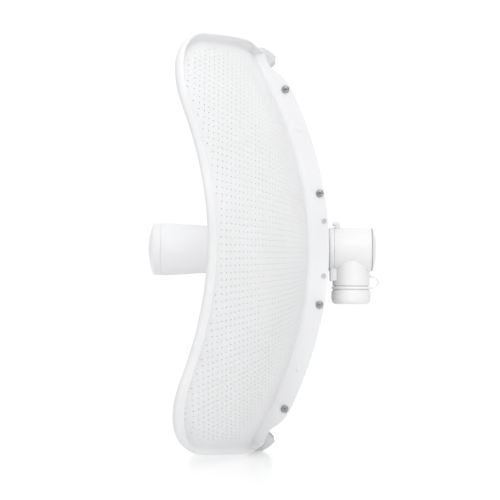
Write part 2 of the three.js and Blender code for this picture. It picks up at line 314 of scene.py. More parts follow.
def finished(bm, name, body, material, nodes, sharp=38, recalculate=True):
    """The bmesh as a piece that rides on a body and stands for CAD nodes."""
    if recalculate:
        bmesh.ops.recalc_face_normals(bm, faces=bm.faces)
    obj = scratch(bm, name)
    mesh = obj.data
    mesh.validate()
    mesh.polygons.foreach_set("use_smooth", [True] * len(mesh.polygons))
    mesh.set_sharp_from_angle(angle=math.radians(sharp))
    mesh.materials.append(material)
    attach(obj, body)
    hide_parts(*nodes)
    return obj


def refinish(node, material):
    """Gives a CAD node a better material."""
    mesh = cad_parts[node].data
    mesh.materials.clear()
    mesh.materials.append(material)


def mirrored(bm):
    """A mirrored copy across the feed axis's upright plane."""
    twin = bm.copy()
    bmesh.ops.scale(twin, vec=(-1, 1, 1), verts=twin.verts)
    bmesh.ops.reverse_faces(twin, faces=twin.faces)
    return twin


# ---------------------------------------------------------------- materials


def new_material(name):
    """A material by name; its node tree and shader come with it only when it is new."""
    material = bpy.data.materials.get(name)
    if material:
        return material, None, None
    material = bpy.data.materials.new(name)
    material.use_nodes = True
    tree = material.node_tree
    return material, tree, tree.nodes["Principled BSDF"]


def noise(tree, scale, detail):
    """Noise on the piece's own coordinates."""
    place = tree.nodes.new("ShaderNodeTexCoord")
    texture = tree.nodes.new("ShaderNodeTexNoise")
    texture.inputs["Scale"].default_value = scale
    texture.inputs["Detail"].default_value = detail
    tree.links.new(place.outputs["Object"], texture.inputs["Vector"])
    return texture.outputs["Fac"]


def ramp(tree, value, stops):
    """A value spread over colours."""
    node = tree.nodes.new("ShaderNodeValToRGB")
    elements = node.color_ramp.elements
    for element, (at, colour) in zip(elements, stops):
        element.position = at
        element.color = (*colour, 1)
    tree.links.new(value, node.inputs["Fac"])
    return node.outputs["Color"]


def grey(value):
    return (value, value, value)


def bumped(tree, shader, height, strength, distance):
    bump = tree.nodes.new("ShaderNodeBump")
    bump.inputs["Strength"].default_value = strength
    bump.inputs["Distance"].default_value = distance
    tree.links.new(height, bump.inputs["Height"])
    tree.links.new(bump.outputs["Normal"], shader.inputs["Normal"])


def coated(name, colour, roughness, peel, strength, metallic=0.0):
    """A painted or moulded surface: broad tone drift, fine roughness drift and a fine texture."""
    material, tree, shader = new_material(name)
    if tree is None:
        return material
    dark = tuple(c * (1 - TONE_DRIFT) for c in colour)
    tone = ramp(tree, noise(tree, 14, 2), ((0.35, dark), (0.65, tuple(colour))))
    tree.links.new(tone, shader.inputs["Base Color"])
    gloss = ramp(
        tree, noise(tree, 120, 2),
        ((0.3, grey(roughness - GLOSS_DRIFT)), (0.7, grey(roughness + GLOSS_DRIFT))))
    tree.links.new(gloss, shader.inputs["Roughness"])
    shader.inputs["Metallic"].default_value = metallic
    bumped(tree, shader, noise(tree, peel, 2), strength, 0.1 * MM)
    return material


def powder_coat():
    return coated("white_powder_coat", bpy.context.scene.bridge_finish.powder, 0.46, 900, 0.10)


def channel_paint():
    return coated("grey_channel_paint", bpy.context.scene.bridge_finish.channel, 0.5, 900, 0.10)


def shell_plastic():
    return coated("white_shell_plastic", bpy.context.scene.bridge_finish.shell, 0.40, 2200, 0.06)


def painted_light_tube_plastic():
    # Painted light: the tube's own faintly bluish white plastic, set lighter than the shell plastic to stand
    # in for light falling on the tube.
    return coated("white_tube_plastic_painted_light", (0.95, 0.95, 0.965), 0.42, 2200, 0.06)


def cap_plastic():
    return coated("white_cap_plastic", bpy.context.scene.bridge_finish.shell, 0.46, 1800, 0.08)


def tether_plastic():
    return coated("soft_tether_plastic", (0.90, 0.90, 0.90), 0.5, 1500, 0.06)


def seal_rubber():
    return coated("pale_seal_rubber", (0.66, 0.665, 0.67), 0.75, 1200, 0.15)


def black_plastic():
    return coated("black_bezel_plastic", (0.02, 0.02, 0.022), 0.5, 1600, 0.1)


def zinc_plate():
    material, tree, shader = new_material("zinc_plate")
    if tree is None:
        return material
    colour = bpy.context.scene.bridge_finish.zinc
    dark = tuple(c * 0.72 for c in colour)
    tone = ramp(tree, noise(tree, 700, 3), ((0.3, dark), (0.7, tuple(colour))))
    tree.links.new(tone, shader.inputs["Base Color"])
    gloss = ramp(tree, noise(tree, 1500, 2), ((0.3, grey(0.28)), (0.7, grey(0.42))))
    tree.links.new(gloss, shader.inputs["Roughness"])
    shader.inputs["Metallic"].default_value = 0.95
    bumped(tree, shader, noise(tree, 2500, 2), 0.12, 0.05 * MM)
    return material


def pin_metal():
    return coated("dull_pin_metal", (0.62, 0.62, 0.63), 0.42, 1500, 0.08, metallic=0.35)


def copper_foil():
    material, tree, shader = new_material("copper_foil")
    if tree is None:
        return material
    tone = ramp(
        tree, noise(tree, 300, 3), ((0.3, (0.45, 0.20, 0.10)), (0.7, (0.72, 0.36, 0.20))))
    tree.links.new(tone, shader.inputs["Base Color"])
    gloss = ramp(tree, noise(tree, 800, 2), ((0.3, grey(0.22)), (0.7, grey(0.36))))
    tree.links.new(gloss, shader.inputs["Roughness"])
    shader.inputs["Metallic"].default_value = 1.0
    return material


def board_laminate():
    """Green solder mask with paler tracks under it."""
    material, tree, shader = new_material("green_board_laminate")
    if tree is None:
        return material
    place = tree.nodes.new("ShaderNodeTexCoord")
    brick = tree.nodes.new("ShaderNodeTexBrick")
    brick.inputs["Scale"].default_value = 260
    brick.inputs["Mortar Size"].default_value = 0.012
    brick.inputs["Color1"].default_value = (0.010, 0.085, 0.045, 1)
    brick.inputs["Color2"].default_value = (0.012, 0.100, 0.050, 1)
    brick.inputs["Mortar"].default_value = (0.030, 0.190, 0.090, 1)
    tree.links.new(place.outputs["Object"], brick.inputs["Vector"])
    tree.links.new(brick.outputs["Color"], shader.inputs["Base Color"])
    gloss = ramp(tree, noise(tree, 400, 2), ((0.3, grey(0.3)), (0.7, grey(0.45))))
    tree.links.new(gloss, shader.inputs["Roughness"])
    return material


# ---------------------------------------------------------------- the pressed sheets


class Outline:
    """A rounded outline across the beam, between two uprights, bowed at its top and bottom."""

    def __init__(self, low, high, half_height, bow, corner_low, corner_high, lift=0):
        self.lift = lift
        self.low, self.high = low, high
        self.half_height, self.bow = half_height, bow
        self.corner_low, self.corner_high = corner_low, corner_high
        self.run = high - corner_high - low
        self.high_x = high - corner_high
        self.high_z = self.top(high) - corner_high
        self.low_x = low + corner_low
        self.low_z = self.top(low) - corner_low

    def share(self, x):
        return min(max((x - self.low) / self.run, 0), 1)

    def top(self, x):
        return self.half_height + self.bow * (1 - self.share(x) ** 2)

    def top_slope(self, x):
        return -2 * self.bow * self.share(x) / self.run

    def normal(self, x, z):
        """The outward direction across the beam at a point near the outline."""
        z -= self.lift
        side = 1 if z >= 0 else -1
        z = abs(z)
        if x > self.high_x:
            n = Vector((x - self.high_x, z - self.high_z)) if z > self.high_z else Vector((1, 0))
        elif x < self.low_x:
            n = Vector((x - self.low_x, z - self.low_z)) if z > self.low_z else Vector((-1, 0))
        else:
            n = Vector((-self.top_slope(x), 1))
        n.normalize()
        return Vector((n.x, 0, n.y * side))

    def points(self, arc_steps, small_steps, top_steps):
        """Points round the upper half of the outline, with their outward directions."""
        found = []
        for i in range(arc_steps):
            angle = (i + 0.5) / arc_steps * math.pi / 2
            n = Vector((math.cos(angle), 0, math.sin(angle)))
            found.append((Vector((self.high_x, 0, self.high_z)) + n * self.corner_high, n))
        for i in range(top_steps):
            x = self.low_x + (self.high_x - self.low_x) * (i + 0.5) / top_steps
            found.append((Vector((x, 0, self.top(x))), self.normal(x, self.top(x))))
        for i in range(small_steps):
            angle = math.pi / 2 + (i + 0.5) / small_steps * math.pi / 2
            n = Vector((math.cos(angle), 0, math.sin(angle)))
            found.append((Vector((self.low_x, 0, self.low_z)) + n * self.corner_low, n))
        return found

    def depth(self, x, z):
        """How far a point lies inside the outer rim."""
        z -= self.lift
        if x > self.high_x and abs(z) > self.high_z:
            return self.corner_high - math.hypot(x - self.high_x, abs(z) - self.high_z)
        return min(self.high - x, self.top(x) - abs(z))

    def inside(self, x, z, margin):
        """True where a point is at least the margin inside."""
        z -= self.lift
        if x < self.low + margin or x > self.high - margin:
            return False
        if abs(z) > self.top(x) - margin:
            return False
        if x > self.high_x and abs(z) > self.high_z:
            reach = self.corner_high - margin
            return math.hypot(x - self.high_x, abs(z) - self.high_z) <= reach
        return True


def dish_y(x, z):
    return -(x * x + z * z) / (4 * bpy.context.scene.bridge_dish.focal)


def rise(x, z, direction):
    """Angle at which the dish's face leans forward, going outward along a direction."""
    focal = bpy.context.scene.bridge_dish.focal
    return math.atan((x * direction.x + z * direction.z) / (2 * focal))


def depth_from(edge, z):
    """Depth from a table of (height, depth) in millimetres, in straight lines between its points."""
    z = min(abs(z) / MM, edge[-1][0])
    for (z0, d0), (z1, d1) in zip(edge, edge[1:]):
        if z <= z1:
            share = (z - z0) / (z1 - z0)
            return (d0 + (d1 - d0) * share) * MM
    return edge[-1][1] * MM


def trim(bm, outline, bend_at):
    """Cuts the sheet to the outline, less the room that the bend takes."""
    planes = [(Vector((outline.high, 0, 0)), Vector((1, 0, 0)))]
    planes.append((Vector((outline.low, 0, 0)), Vector((-1, 0, 0))))
    for point, n in outline.points(14, 5, 8):
        lift = Vector((0, 0, outline.lift))
        planes.append((point + lift, n))
        planes.append((Vector((point.x, 0, -point.z)) + lift, Vector((n.x, 0, -n.z))))
    for point, n in planes:
        room = bend_at(n, point.x) * (1 + math.sin(rise(point.x, point.z, n)))
        bmesh.ops.bisect_plane(
            bm, geom=bm.verts[:] + bm.edges[:] + bm.faces[:], dist=1e-7, plane_co=point - n * room,
            plane_no=n, clear_outer=True)
    bmesh.ops.remove_doubles(bm, verts=bm.verts, dist=0.15 * MM)


def next_row(bm, edges, origins):
    """A further row of edges; each of its points keeps the origin of the point it came from."""
    made = bmesh.ops.extrude_edge_only(bm, edges=edges)["geom"]
    verts = [g for g in made if isinstance(g, bmesh.types.BMVert)]
    fresh = set(verts)
    row = [
        g for g in made
        if isinstance(g, bmesh.types.BMEdge) and all(v in fresh for v in g.verts)
    ]
    kept = {}
    for vert in verts:
        for link in vert.link_edges:
            other = link.other_vert(vert)
            if other in origins:
                kept[vert] = origins[other]
                break
    return row, kept


def turn_back(bm, outline, bend_at, depth_at, steps=8):
    """Bends the sheet's edge back along the beam, down to a depth that depends on the place."""
    back = ALONG["y"]
    edges = [e for e in bm.edges if e.is_boundary]
    origins = {}
    for vert in {v for e in edges for v in e.verts}:
        n = outline.normal(vert.co.x, vert.co.z)
        origins[vert] = (vert.co.copy(), n, rise(vert.co.x, vert.co.z, n))
    for step in range(1, steps + 1):
        edges, origins = next_row(bm, edges, origins)
        for vert, (origin, n, angle) in origins.items():
            bend = bend_at(n, origin.x)
            turn = (math.pi / 2 + angle) * step / steps
            along = n * math.cos(angle) - back * math.sin(angle)
            inward = n * math.sin(angle) + back * math.cos(angle)
            centre = origin + inward * bend
            vert.co = centre - inward * bend * math.cos(turn) + along * bend * math.sin(turn)
    for share in (0.5, 1.0):
        edges, origins = next_row(bm, edges, origins)
        for vert, (_, n, _) in origins.items():
            goal = dish_y(vert.co.x, vert.co.z) + depth_at(vert.co.x, vert.co.z, n)
            vert.co.y += (goal - vert.co.y) * share


def face_forward(bm, faces):
    """Turns the sheet's faces so that the reflecting side looks along the beam."""
    bmesh.ops.recalc_face_normals(bm, faces=bm.faces)
    if sum(f.normal.y * f.calc_area() for f in faces) > 0:
        bmesh.ops.reverse_faces(bm, faces=bm.faces)


def thickened(bm, thickness):
    """The sheet with its second side, the thickness behind the first."""
    obj = scratch(bm)
    modifier = obj.modifiers.new("Sheet", "SOLIDIFY")
    modifier.thickness = thickness
    modifier.offset = -1
    modifier.use_even_offset = False
    return evaluated(obj)


class BRIDGE_OT_wings(bpy.types.Operator):
    """Press, perforate and turn back the two dish wings"""

    bl_idname = "bridge.wings"
    bl_label = "Dish Wings"

    def lattice(self, dish):
        """A sheet of cells on the dish: circles about the beam crossed by rows that fan out."""
        def slope_length(radius):
            k = 1 / (2 * dish.focal)
            return radius / 2 * math.sqrt(1 + (k * radius) ** 2) + math.asinh(k * radius) / (2 * k)

        def radius_at(length):
            radius = length
            for _ in range(12):
                radius -= (slope_length(radius) - length) / math.sqrt(
                    1 + (radius / (2 * dish.focal)) ** 2)
            return radius

        outermost = slope_length(235.5 * MM) + 0.5 * dish.pitch
        inward, outward, rows = 37, 9, 60
        columns = inward + outward
        rings = [
            radius_at(outermost + (outward - column) * dish.pitch) for column in range(columns + 1)]
        bm = bmesh.new()
        bmesh.ops.create_grid(bm, x_segments=columns, y_segments=2 * rows + 1, size=0.5)
        places = {}
        for index in range(2 * rows + 2):
            places[index] = self.row_places(dish, rings, index - rows - 0.5)
        lost = []
        for vert in bm.verts:
            column = columns - round((vert.co.x + 0.5) * columns)
            index = round((vert.co.y + 0.5) * (2 * rows + 1))
            x, z = places[index][column]
            if x < 15 * MM:
                lost.append(vert)
            vert.co = (x, dish_y(x, z), z)
        bmesh.ops.delete(bm, geom=lost, context="VERTS")
        return bm

    def row_places(self, dish, rings, row):
        """Where one row meets each ring, from the outermost in; near the seam the steps are even."""
        def height(x):
            return row * dish.row * math.exp(2.2 * (x - 0.230))

        def crossing(radius):
            low, high = 0, radius
            if abs(height(0)) > radius:
                return None
            for _ in range(40):
                middle = (low + high) / 2
                if math.hypot(middle, height(middle)) > radius:
                    high = middle
                else:
                    low = middle
            return middle

        crossings = [crossing(radius) for radius in rings]
        x = crossings[0]
        if x is None:
            return [(0, 0)] * len(rings)
        found = [(x, height(x))]
        for before, after in zip(crossings, crossings[1:]):
            step = dish.widest
            if before is not None and after is not None:
                step = min(step, before - after)
            x -= step
            found.append((x, height(x)))
        return found

    def perforate(self, bm, cells, dish):
        for face in cells:
            face.material_index = 1
        made = bmesh.ops.inset_individual(
            bm, faces=cells, thickness=1.6 * MM, depth=0, use_even_offset=True)
        for face in made["faces"]:
            face.material_index = 0
        corners = list({v for f in cells for v in f.verts})
        bmesh.ops.bevel(
            bm, geom=corners, offset=0.9 * MM, offset_type="OFFSET", segments=1, profile=0.5,
            affect="VERTICES", material=-1, clamp_overlap=True)
        holes = [f for f in bm.faces if f.material_index == 1 and len(f.verts) == 8]
        for face in holes:
            centre = face.calc_center_median()
            for vert in face.verts:
                spoke = vert.co - centre
                vert.co = centre + spoke.normalized() * dish.hole / 2
        bmesh.ops.delete(bm, geom=holes, context="FACES_ONLY")
        for face in bm.faces:
            face.material_index = 0

    def cut_notch_rows(self, bm):
        """Rows across the sheet beside the flange's notches, so the turned edge can follow them."""
        for height in NOTCH_ROWS:
            for z in (height * MM, -height * MM):
                near = [f for f in bm.faces if f.calc_center_median().x < NOTCH_REACH]
                geom = near + list({e for f in near for e in f.edges})
                geom += list({v for f in near for v in f.verts})
                bmesh.ops.bisect_plane(
                    bm, geom=geom, dist=0.2 * MM, plane_co=(0, 0, z), plane_no=(0, 0, 1))

    def lean_rim(self, bm, outline, dish, bend_at):
        """Leans the outer rim forward of the dish, most at its lower corner."""
        for vert in bm.verts:
            n = outline.normal(vert.co.x, vert.co.z)
            reach = outline.depth(vert.co.x, vert.co.z)
            share = min(max((LEAN_START - reach) / LEAN_RUN, 0), 1)
            out = max(n.x, 0)
            lean = dish.flare * bend_at(n, vert.co.x) * out * (2 - out)
            lean *= 1 + dish.droop * max(-vert.co.z, 0) / dish.half_height
            vert.co.y -= lean * share * share * (3 - 2 * share)

    def execute(self, context):
        dish = context.scene.bridge_dish
        outline = Outline(
            dish.inner, dish.half_width, dish.half_height, dish.bow, 9.5 * MM, dish.corner,
            dish.lift)
        bm = self.lattice(dish)

        def bend_at(n, x):
            if x < 70 * MM:
                share = min(max((x - dish.inner - 8 * MM) / (35 * MM), 0), 1)
                low = dish.seam_bend + (4.5 * MM - dish.seam_bend) * abs(n.z)
                return low + (dish.bend - low) * share * abs(n.z)
            return dish.rim_bend + (dish.bend - dish.rim_bend) * abs(n.z)

        trim(bm, outline, bend_at)
        self.cut_notch_rows(bm)
        self.lean_rim(bm, outline, dish, bend_at)
        panel = bm.faces[:]
        cells = []
        for face in panel:
            if len(face.verts) != 4:
                continue
            centre = face.calc_center_median()
            if centre.x < FIRST_HOLE or not outline.inside(centre.x, centre.z, dish.margin):
                continue
            if min(e.calc_length() for e in face.edges) < SHORTEST_CELL:
                continue
            cells.append(face)

        def depth_at(x, z, n):
            share = min(max(-n.x, 0), 1)
            lip = dish.lip + 2.4 * MM * abs(n.z)
            return lip + (depth_from(FLANGE_EDGE, z) - lip) * share

        turn_back(bm, outline, bend_at, depth_at)
        face_forward(bm, panel)
        self.perforate(bm, cells, dish)
        bm = thickened(bm, dish.sheet)
        outer = dish.inner + dish.sheet
        for z in (DIMPLE_HEIGHT, -DIMPLE_HEIGHT):
            bump = bmesh.new()
            bmesh.ops.create_uvsphere(bump, u_segments=24, v_segments=12, radius=3 * MM)
            bmesh.ops.scale(bump, vec=(0.36, 1, 1), verts=bump.verts)
            bmesh.ops.translate(bump, vec=(outer, -8.9 * MM, z), verts=bump.verts)
            bm = joined(bm, bump)
        twin = mirrored(bm)
        for (side, _), sheet in zip(SIDES, (bm, twin)):
            finished(
                sheet, f"wing_sheet_{side}", "antenna", powder_coat(),
                [f"reflector_wing_{side}"], recalculate=False)
        return {"FINISHED"}


class BRIDGE_OT_channel(bpy.types.Operator):
    """Press the centre channel with its end tabs and its hole for the tube"""

    bl_idname = "bridge.channel"
    bl_label = "Centre Channel"

    def execute(self, context):
        dish = context.scene.bridge_dish
        low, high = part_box("spine_channel")
        corner = 5 * MM
        outline = Outline(low.x, high.x, high.z, 0.0001 * MM, corner, corner)
        bm = bmesh.new()
        bmesh.ops.create_grid(bm, x_segments=12, y_segments=130, size=0.5)
        for vert in bm.verts:
            x = vert.co.x * (high.x - low.x)
            z = vert.co.y * (high.z - low.z)
            vert.co = (x, dish_y(high.x, z), z)

        def bend_at(n, x):
            return 2.6 * MM

        trim(bm, outline, bend_at)
        panel = bm.faces[:]

        def depth_at(x, z, n):
            return depth_from(CHANNEL_EDGE, z)

        turn_back(bm, outline, bend_at, depth_at)
        face_forward(bm, panel)
        bm = thickened(bm, dish.sheet)
        bore = turned(((0, -20, 0), (22.9, -20, 0), (22.9, 12, 0), (0, 12, 0)), "y")
        bm = carved(bm, ("DIFFERENCE", bore))
        finished(
            bm, "channel_sheet", "antenna", channel_paint(), ["spine_channel"],
            recalculate=False)
        return {"FINISHED"}


# ---------------------------------------------------------------- fasteners


class BRIDGE_OT_fasteners(bpy.types.Operator):
    """Make the flange screws, their nuts and the locating pins"""

    bl_idname = "bridge.fasteners"
    bl_label = "Fasteners"

    def seat_of(self, node):
        """Where a fastener stands: its side, its tip and its outer end in millimetres, its axis."""
        low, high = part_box(node)
        sign = 1 if high.x > 0 else -1
        tip, outer = sorted((abs(low.x) / MM, abs(high.x) / MM))
        return sign, tip, outer, (low.y + high.y) / 2, (low.z + high.z) / 2

    def screw(self, side, number):
        node = f"flange_screw_{side}_{number}"
        sign, tip, outer, y, z = self.seat_of(node)
        seat = outer - 2.7
        profile = (
            (0, tip, 0), (1.2, tip, 0.1), (1.9, tip + 1, 0.1), (1.9, seat, 0.1), (3.8, seat, 0.2),
            (3.8, seat + 1.0, 0.5), (2.9, seat + 2.4, 0.8), (0, outer, 0),
        )
        head = turned(profile, "x", (0, y, z), steps=40)
        arm = (outer - 1.6, 2.1, 0.42)
        y_mm, z_mm = y / MM, z / MM
        slots = []
        for along, across in ((arm[1], arm[2]), (arm[2], arm[1])):
            slots.append(("DIFFERENCE", block(
                (arm[0], y_mm - along, z_mm - across),
                (outer + 1, y_mm + along, z_mm + across), 0.12, 1)))
        slots.append(("DIFFERENCE", turned(
            ((0, outer - 2.2, 0), (0.9, outer - 1.2, 0), (1.0, outer + 1, 0), (0, outer + 1, 0)),
            "x", (0, y, z), steps=16)))
        bm = carved(head, *slots)
        if sign < 0:
            bmesh.ops.scale(bm, vec=(-1, 1, 1), verts=bm.verts)
        finished(bm, f"screw_{side}_{number}", "antenna", zinc_plate(), [node])

    def nut(self, side, number):
        node = f"flange_nut_{side}_{number}"
        low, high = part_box(node)
        y, z = (low.y + high.y) / 2, (low.z + high.z) / 2
        bm = bmesh.new()
        bmesh.ops.create_cone(
            bm, cap_ends=True, segments=6, radius1=4 * MM, radius2=4 * MM, depth=high.x - low.x)
        bmesh.ops.bevel(
            bm, geom=bm.edges[:], offset=0.3 * MM, offset_type="OFFSET", segments=2, profile=0.5,
            affect="EDGES", material=-1, clamp_overlap=True)
        bmesh.ops.rotate(
            bm, cent=(0, 0, 0), matrix=Matrix.Rotation(math.pi / 2, 3, "Y"), verts=bm.verts)
        bmesh.ops.translate(bm, vec=((low.x + high.x) / 2, y, z), verts=bm.verts)
        reach = (low.x / MM - 1, high.x / MM + 1)
        bore = turned(
            ((0, reach[0], 0), (2.2, reach[0], 0), (2.2, reach[1], 0), (0, reach[1], 0)), "x",
            (0, y, z), steps=24)
        bm = carved(bm, ("DIFFERENCE", bore))
        finished(bm, f"nut_{side}_{number}", "antenna", zinc_plate(), [node])

    def pin(self, side, level):
        node = f"locating_pin_{side}_{level}"
        sign, tip, outer, y, z = self.seat_of(node)
        seat = outer - 0.7
        profile = (
            (0, tip, 0), (1.7, tip, 0.2), (2, tip + 0.6, 0.2), (2, seat, 0), (2.5, seat, 0.1),
            (2.5, outer, 0.25), (1.55, outer, 0.12), (1.4, seat + 0.2, 0.1), (0, seat + 0.2, 0),
        )
        bm = turned(profile, "x", (0, y, z), steps=36)
        if sign < 0:
            bmesh.ops.scale(bm, vec=(-1, 1, 1), verts=bm.verts)
        finished(bm, f"pin_{side}_{level}", "antenna", pin_metal(), [node])

    def execute(self, context):
        for side, _ in SIDES:
            for number in range(1, 5):
                self.screw(side, number)
                self.nut(side, number)
            for level in ("upper", "lower"):
                self.pin(side, level)
        return {"FINISHED"}


# ---------------------------------------------------------------- feed


class BRIDGE_OT_feed(bpy.types.Operator):
    """Make the feed tube, its front cap and what they hold"""

    bl_idname = "bridge.feed"
    bl_label = "Feed Tube"

    def execute(self, context):
        rear = TUBE_HIGH.y / MM
        front = TUBE_LOW.y / MM
        tube = (
            (24.05, front, 0.2), (26, front, 0.15), (26, -142.4, 0.12), (25.85, -142.15, 0.08),
            (25.85, -141.85, 0.08), (26, -141.6, 0.12), (26, -136, 6), (23.3, -98, 14),
            (22.6, -70, 10), (22.4, rear, 0.5), (20.6, rear, 0.5), (20.6, -30, 10),
            (20.9, -70, 10), (21.6, -98, 10), (24.05, -130, 5),
        )
        finished(
            turned(tube, "y", steps=128), "feed_tube_shell", "antenna",
            painted_light_tube_plastic(), ["feed_tube"])
        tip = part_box("feed_front_cap")[0].y / MM
        cap = (
            (0, tip, 0), (3.6, tip, 0.4), (4.2, tip + 0.15, 0.3), (14, -158.2, 9),
            (24.9, -154.3, 1.0), (26, -152.8, 1.0), (26, -146.12, 0.15), (22.8, -146.12, 0.1),
            (22.8, -138, 0.5), (21.2, -138, 0.5), (21.2, -152, 2), (12, -156, 6), (0, -156.8, 0),
        )
        finished(
            turned(cap, "y", steps=128), "feed_cap_shell", "antenna",
            painted_light_tube_plastic(), ["feed_front_cap"])
        seal = turned(
            ((23.05, -143.6, 0.3), (23.75, -143.6, 0.3), (23.75, -142.2, 0.3), (23.05, -142.2, 0.3)),
            "y", steps=72)
        finished(
            seal, "feed_cap_seal", "antenna", seal_rubber(), ["front_cap_o_ring"])
        ring = turned(
            ((22.7, 2.5, 0.4), (24.7, 2.5, 0.4), (24.7, 8.5, 0.4), (22.7, 8.5, 0.4)), "y", steps=72)
        finished(ring, "tube_clamp", "antenna", zinc_plate(), ["tube_clamp_ring"])
        refinish("subreflector_disc", copper_foil())
        refinish("feed_radiator", copper_foil())
        refinish("antenna_board", board_laminate())
        return {"FINISHED"}


# ---------------------------------------------------------------- radio


class BRIDGE_OT_radio(bpy.types.Operator):
    """Make the radio housing with its port, its end cap, collar and inner parts"""

    bl_idname = "bridge.radio"
    bl_label = "Radio Housing"

    def housing(self):
        end = HOUSING_HIGH.y / MM
        front = HOUSING_LOW.y / MM
        port = PORT_Y / MM
        outside = (
            (0, front, 0), (20.2, front, 0.5), (20.2, 26.5, 0.1), (21.85, 26.5, 0.2),
            (21.85, end, 0.4), (0, end, 0),
        )
        inside = (
            (0, front - 2, 0), (18.4, front - 2, 0), (18.4, 28.5, 0.3), (19.6, 28.5, 0.3),
            (19.6, end + 2, 0), (0, end + 2, 0),
        )
        centre = (0, PORT_Y, 0)
        barrel = (
            (0, -50, 0), (17, -50, 0.4), (17, -36.2, 0.3), (18.5, -36.2, 0.8), (18.5, -6, 0),
            (0, -6, 0),
        )
        bore = ((0, -52, 0), (14.8, -52, 0), (14.8, -4, 0), (0, -4, 0))
        anchor = block((-2, port + 17.5, -28.2), (2, port + 19.7, -25.6), 0.5)
        slot = block((-6, 27.1, 12), (6, 32.7, 25), 0.4)
        shelf = block((-8, 28.8, 9.5), (8, 33.6, 11), 0.2, 1)
        walls = [block((x, 28.8, 9.5), (x + 1.7, 33.6, 18.6), 0.2, 1) for x in (-8, 6.3)]
        bm = carved(
            turned(outside, "y", steps=112), ("UNION", turned(barrel, "z", centre, steps=96)),
            ("UNION", anchor), ("DIFFERENCE", turned(inside, "y", steps=96)),
            ("DIFFERENCE", turned(bore, "z", centre, steps=72)), ("DIFFERENCE", slot),
            ("UNION", shelf), ("UNION", walls[0]), ("UNION", walls[1]))
        finished(
            bm, "housing_shell", "antenna", shell_plastic(), ["rear_housing"],
            sharp=30, recalculate=False)

    def execute(self, context):
        self.housing()
        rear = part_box("rear_end_cap")[1].y / MM
        cap = (
            (0, rear, 0), (11.4, rear, 1.2), (20.4, rear - 2.4, 1.2), (21.7, rear - 3.2, 0.3),
            (19.2, rear - 3.2, 0.1), (19.2, 58, 0.4), (17.6, 58, 0.4), (17.6, 64, 1.0),
            (10, 66.2, 2), (0, 66.2, 0),
        )
        finished(
            turned(cap, "y", steps=128), "end_cap_shell", "antenna",
            shell_plastic(), ["rear_end_cap"])
        gasket = turned(
            ((19.7, 63.8, 0.15), (21.3, 63.8, 0.25), (21.3, 64.4, 0.25), (19.7, 64.4, 0.15)), "y",
            steps=72)
        finished(
            gasket, "end_cap_seal", "antenna", seal_rubber(), ["end_cap_gasket"])
        band = turned(
            ((20.5, 21.9, 0.3), (22, 21.9, 0.4), (22, 26.3, 0.2), (20.5, 26.3, 0.2)), "y", steps=112)
        lug = carved(
            block((-11.6, 22.3, -31.4), (11.6, 30.8, -14), 1.2),
            ("DIFFERENCE", turned(
                ((0, 20, 0), (20.5, 20, 0), (20.5, 26.25, 0), (0, 26.25, 0)), "y", steps=96)),
            ("DIFFERENCE", turned(
                ((0, 26.2, 0), (22.15, 26.2, 0), (22.15, 40, 0), (0, 40, 0)), "y", steps=96)))
        room = turned(
            ((0, -60, 0), (18.8, -60, 0), (18.8, 0, 0), (0, 0, 0)), "z", (0, PORT_Y, 0), steps=96)
        collar = carved(band, ("UNION", lug), ("DIFFERENCE", room))
        finished(
            collar, "collar_with_lug", "antenna", shell_plastic(),
            ["mount_collar"], sharp=30, recalculate=False)
        refinish("radio_board", board_laminate())
        refinish("shield_can", zinc_plate())
        refinish("ethernet_jack", zinc_plate())
        refinish("port_bezel", black_plastic())
        refinish("reset_button", seal_rubber())
        return {"FINISHED"}


class BRIDGE_OT_latch(bpy.types.Operator):
    """Make the release latch and its spring"""

    bl_idname = "bridge.latch"
    bl_label = "Release Latch"

    def spring(self):
        low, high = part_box("latch_spring")
        wire = 0.32 * MM
        radius = (high.x - low.x) / 2 - wire
        turns = 5
        middle = (low + high) / 2
        bm = cord_end(wire, 10, (middle.x + radius, middle.y, low.z + wire))
        climb = (high.z - low.z - 2 * wire) / (turns * 24)
        bmesh.ops.spin(
            bm, geom=bm.verts[:] + bm.edges[:], cent=middle, axis=ALONG["z"],
            angle=2 * math.pi * turns, steps=turns * 24, dvec=(0, 0, climb))
        bmesh.ops.holes_fill(bm, edges=bm.edges)
        coil = finished(bm, "latch_coil", "antenna", zinc_plate(), ["latch_spring"], 60)
        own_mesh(coil)

    def execute(self, context):
        body = block((-5.7, 27.4, 16), (5.7, 32.4, 25.4), 0.4)
        nose = block((-5.7, 25, 24), (5.7, 32.4, 26.6), 0.7)
        crown = block((-4.6, 25.8, 25), (4.6, 31.6, 27.8), 1.2, 4)
        bm = carved(body, ("UNION", nose), ("UNION", crown))
        for y in (27.2, 28.7, 30.2):
            rib = block((-3.4, y - 0.25, 27.5), (3.4, y + 0.25, 28.4), 0.15, 1)
            bm = carved(bm, ("DIFFERENCE", rib))
        finished(
            bm, "latch_key", "latch", cap_plastic(), ["latch_button"], sharp=30,
            recalculate=False)
        self.spring()
        return {"FINISHED"}


